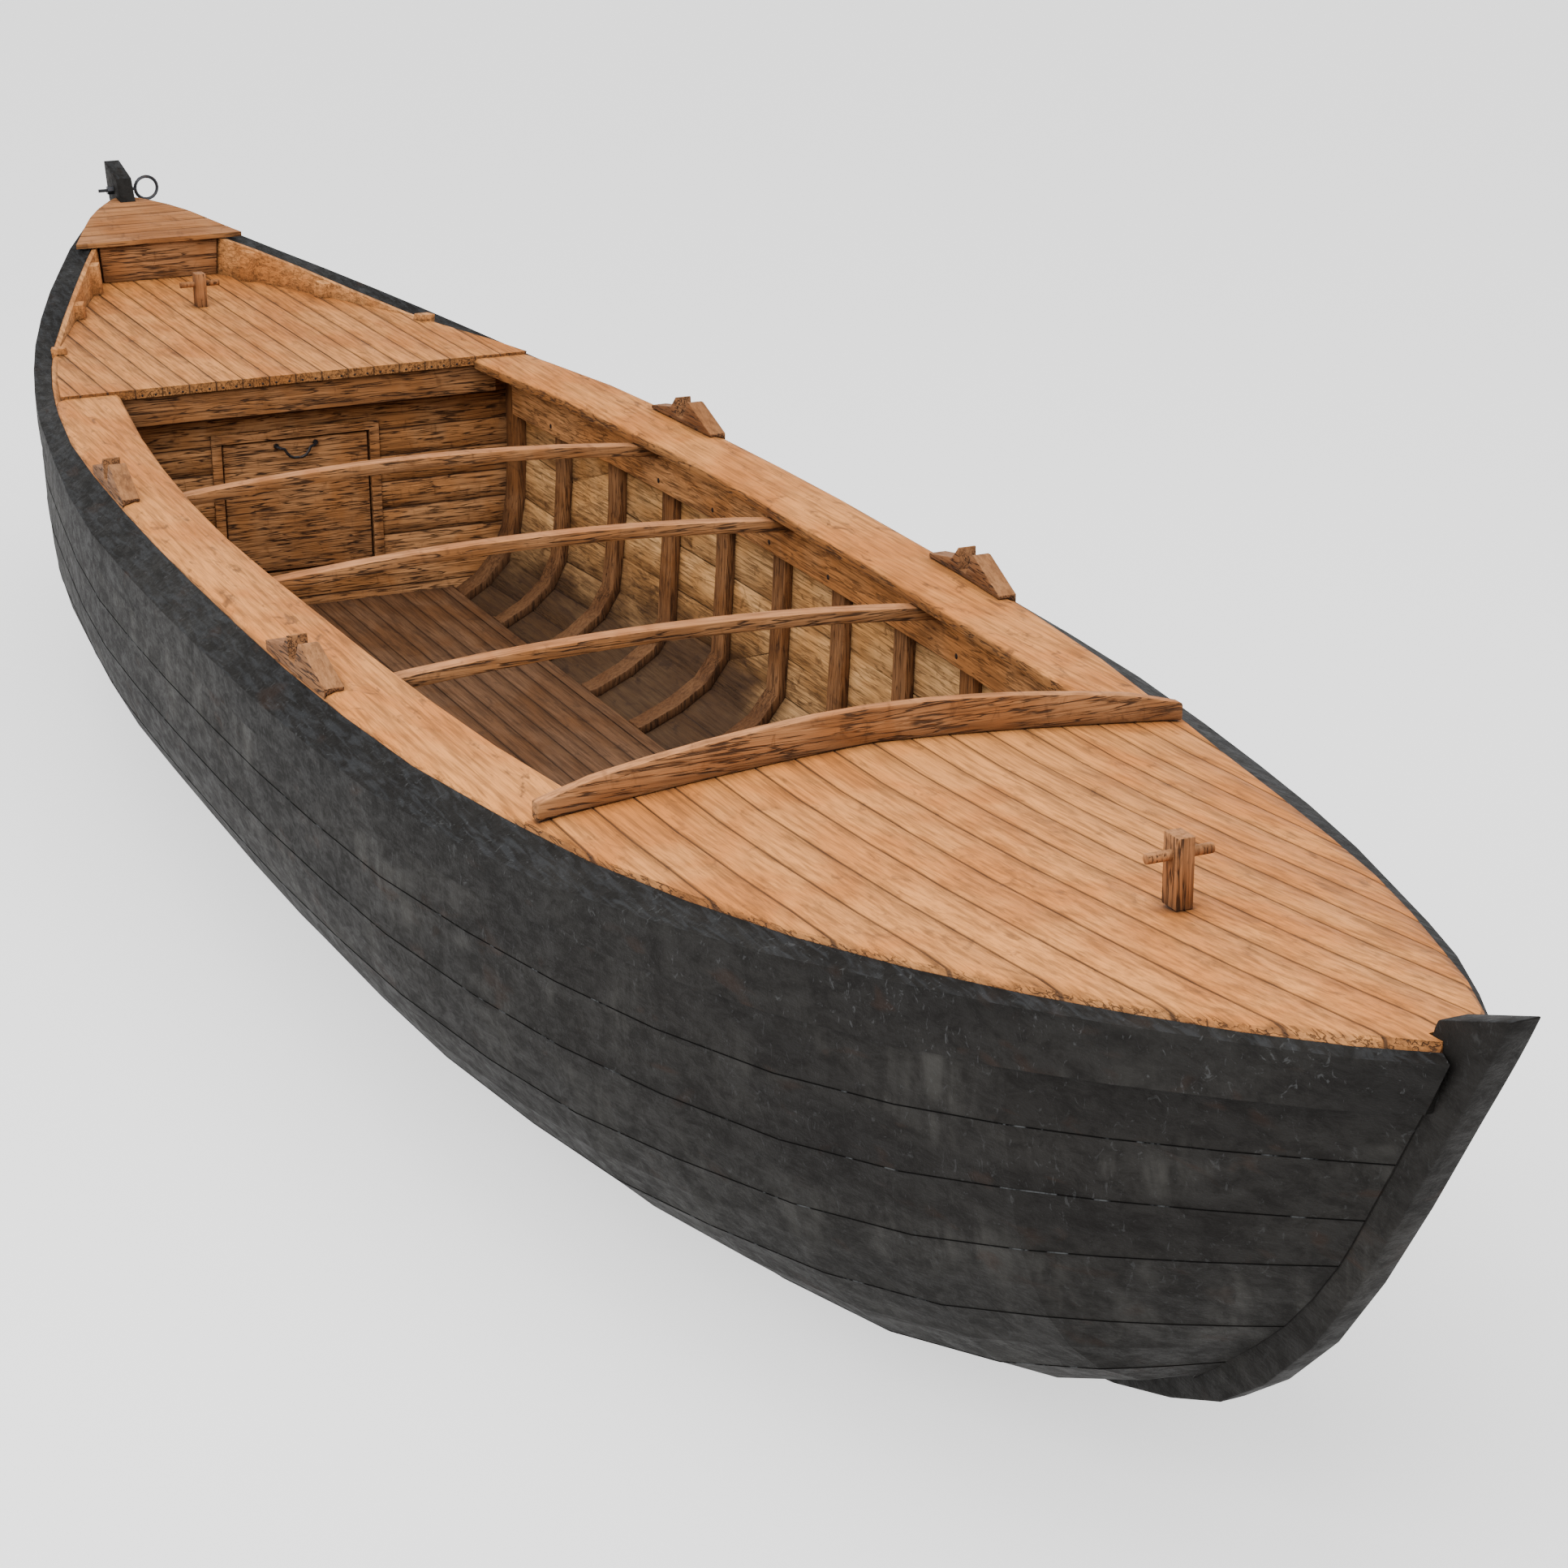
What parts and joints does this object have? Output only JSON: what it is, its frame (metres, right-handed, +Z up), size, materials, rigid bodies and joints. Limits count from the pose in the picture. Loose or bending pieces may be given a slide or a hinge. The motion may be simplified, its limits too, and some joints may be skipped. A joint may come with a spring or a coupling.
{
  "type": "wooden cargo boat",
  "caption": "Open wooden cargo boat with a deep framed hold, short decks at bow and stern, cross beams, rowlocks and a small stern locker behind a drop-down door.",
  "frame": {"origin": "on the centreline amidships, at the waterline of the empty boat", "axes": "+X to the bow, +Y to port, +Z up"},
  "size_m": [9.141, 2.0864, 1.402],
  "materials": {
    "tarred": "tarred, weathered",
    "deck": "oiled, worn",
    "frame": "dark stained",
    "lining": "oiled, worn",
    "sole": "dark, worn",
    "iron": "black, worn"
  },
  "bodies": {
    "hull": {"aft_bulkhead": "frame", "bow_bitt": "frame", "bow_stem": "tarred", "bulwark_port": "deck", "bulwark_starboard": "deck", "clamp_port": "deck", "clamp_starboard": "deck", "covering_board_port": "deck", "covering_board_starboard": "deck", "cross_beam_1": "deck", "cross_beam_2": "deck", "cross_beam_3": "deck", "cuddy_door_frame": "frame", "cuddy_face": "frame", "fore_bulkhead": "frame", "fore_deck": "deck", "frame_01": "frame", "frame_02": "frame", "frame_03": "frame", "frame_04": "frame", "frame_05": "frame", "frame_06": "frame", "frame_07": "frame", "frame_08": "frame", "frame_09": "frame", "frame_10": "frame", "frame_11": "frame", "garboard_port": "tarred", "garboard_starboard": "tarred", "hold_lining_port": "lining", "hold_lining_starboard": "lining", "hold_sole": "sole", "keel": "tarred", "raised_stern_deck": "deck", "ring_bolt": "iron", "rowlock_aft_port": "frame", "rowlock_aft_starboard": "frame", "rowlock_fore_port": "frame", "rowlock_fore_starboard": "frame", "stern_bitt": "frame", "stern_deck": "deck", "stern_deck_beam": "frame", "stern_post": "tarred", "strake_1_port": "tarred", "strake_1_starboard": "tarred", "strake_2_port": "tarred", "strake_2_starboard": "tarred", "strake_3_port": "tarred", "strake_3_starboard": "tarred", "strake_4_port": "tarred", "strake_4_starboard": "tarred", "strake_5_port": "tarred", "strake_5_starboard": "tarred", "wale_port": "tarred", "wale_starboard": "tarred", "washboard": "deck"},
    "door": {"cuddy_door": "frame", "cuddy_door_pull": "iron"}
  },
  "joints": [
    {"name": "cuddy_door_hinge", "type": "hinge", "parent": "hull", "child": "door", "pos_m": [-2.164, 0, 0.068], "axis": [0, 1, 0], "range_deg": [0, 90]}
  ]
}
